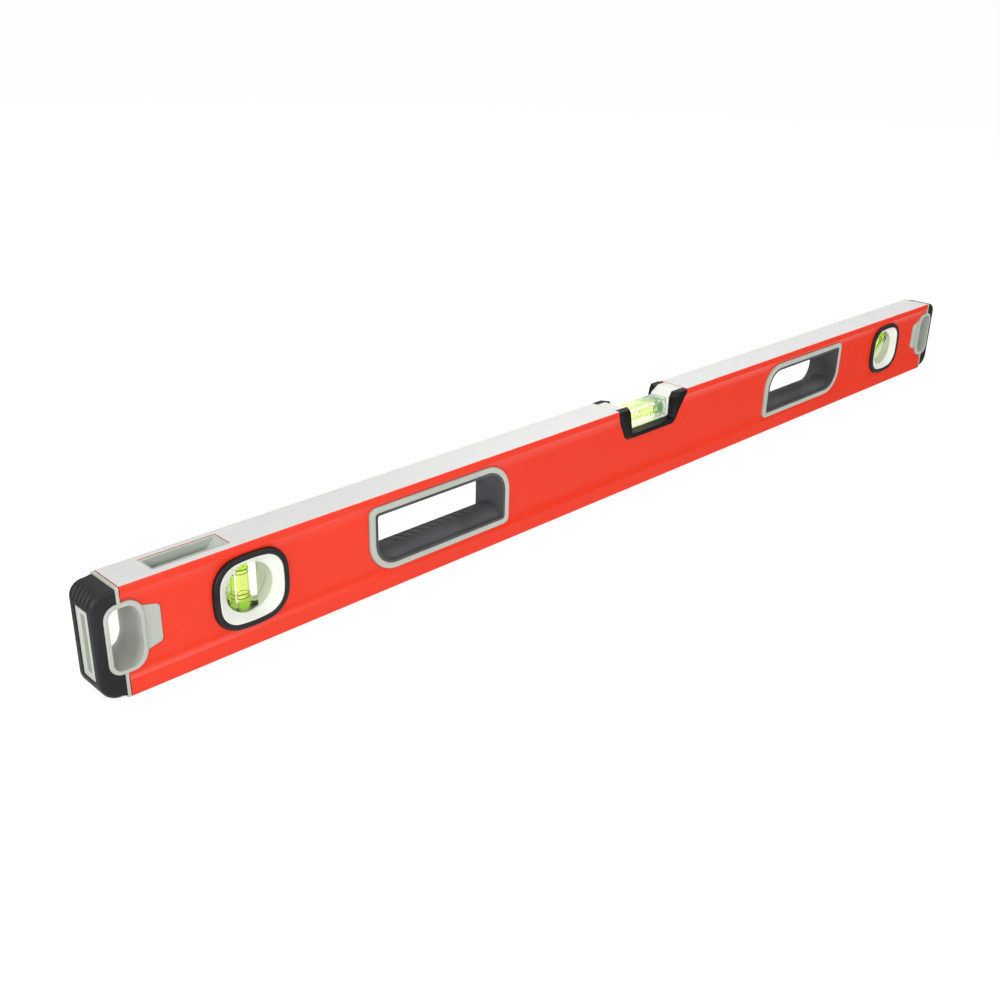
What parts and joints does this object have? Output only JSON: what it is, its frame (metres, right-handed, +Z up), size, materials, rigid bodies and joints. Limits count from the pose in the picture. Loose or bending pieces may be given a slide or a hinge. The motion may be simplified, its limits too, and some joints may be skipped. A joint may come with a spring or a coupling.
{
  "type": "box-section spirit level",
  "caption": "Aluminium box-section spirit level with lengthwise, plumb and diagonal vials, rubber-lined hand holds and shock-absorbing end caps with hang holes.",
  "frame": {"origin": "centre of the underside, at mid-length and mid-depth", "axes": "+X along the level from the plumb vial towards the diagonal vial, -Y out of the front face, +Z up from the measuring base"},
  "size_m": [0.9024, 0.0286, 0.0656],
  "materials": {
    "painted_profile": "gloss red powder coat on aluminium, top face milled bare",
    "grey_plastic": "light grey moulded plastic",
    "cap_plastic": "light grey moulded plastic",
    "black_rubber": "satin black rubber",
    "grip_rubber": "soft matte black rubber",
    "black_plastic": "satin black plastic",
    "white_plastic": "white moulded plastic",
    "clear_acrylic": "polished clear acrylic",
    "vial_liquid": "yellow-green spirit",
    "air_bubble": "air",
    "vial_plug": "dark green stopper",
    "mark_ink": "black graduation rings"
  },
  "bodies": {
    "level": {"beam_profile": "painted_profile", "top_tray_insert": "grey_plastic", "plumb_bezel_front": "black_rubber", "plumb_bezel_back": "black_rubber", "plumb_housing_front": "white_plastic", "plumb_housing_back": "white_plastic", "plumb_vial_block": "clear_acrylic", "plumb_ring_marks": "mark_ink", "plumb_liquid": "vial_liquid", "plumb_plug": "vial_plug", "diagonal_bezel_front": "black_rubber", "diagonal_bezel_back": "black_rubber", "diagonal_housing_front": "white_plastic", "diagonal_housing_back": "white_plastic", "diagonal_vial_block": "clear_acrylic", "diagonal_ring_marks": "mark_ink", "diagonal_liquid": "vial_liquid", "diagonal_plug": "vial_plug", "centre_frame_front": "black_plastic", "centre_frame_back": "black_plastic", "centre_vial_holder": "white_plastic", "centre_vial_block": "clear_acrylic", "centre_ring_marks": "mark_ink", "centre_liquid": "vial_liquid", "centre_plug": "vial_plug", "left_grip_frame_front": "grey_plastic", "left_grip_frame_back": "grey_plastic", "left_grip_sleeve": "grip_rubber", "right_grip_frame_front": "grey_plastic", "right_grip_frame_back": "grey_plastic", "right_grip_sleeve": "grip_rubber"},
    "left_cap": {"left_cap_core": "cap_plastic", "left_cap_rubber": "black_rubber"},
    "right_cap": {"right_cap_core": "cap_plastic", "right_cap_rubber": "black_rubber"},
    "plumb_air": {"plumb_bubble": "air_bubble"},
    "diagonal_air": {"diagonal_bubble": "air_bubble"},
    "centre_air": {"centre_bubble": "air_bubble"}
  },
  "joints": [
    {"name": "left_cap_slide", "type": "slide", "parent": "level", "child": "left_cap", "axis": [-1, 0, 0], "range_m": [0, 0.03]},
    {"name": "right_cap_slide", "type": "slide", "parent": "level", "child": "right_cap", "axis": [1, 0, 0], "range_m": [0, 0.03]},
    {"name": "plumb_bubble_travel", "type": "slide", "parent": "level", "child": "plumb_air", "axis": [0, 0, 1], "range_m": [-0.0218, 0], "stiffness_N_per_m": 3, "springref_m": 0.002, "deforming": ["plumb_liquid"]},
    {"name": "diagonal_bubble_travel", "type": "slide", "parent": "level", "child": "diagonal_air", "axis": [0.7071, 0, 0.7071], "range_m": [-0.0218, 0], "stiffness_N_per_m": 3, "springref_m": 0.002, "deforming": ["diagonal_liquid"]},
    {"name": "centre_bubble_travel", "type": "slide", "parent": "level", "child": "centre_air", "axis": [1, 0, 0], "range_m": [-0.0125, 0.008], "stiffness_N_per_m": 3, "deforming": ["centre_liquid"]}
  ]
}
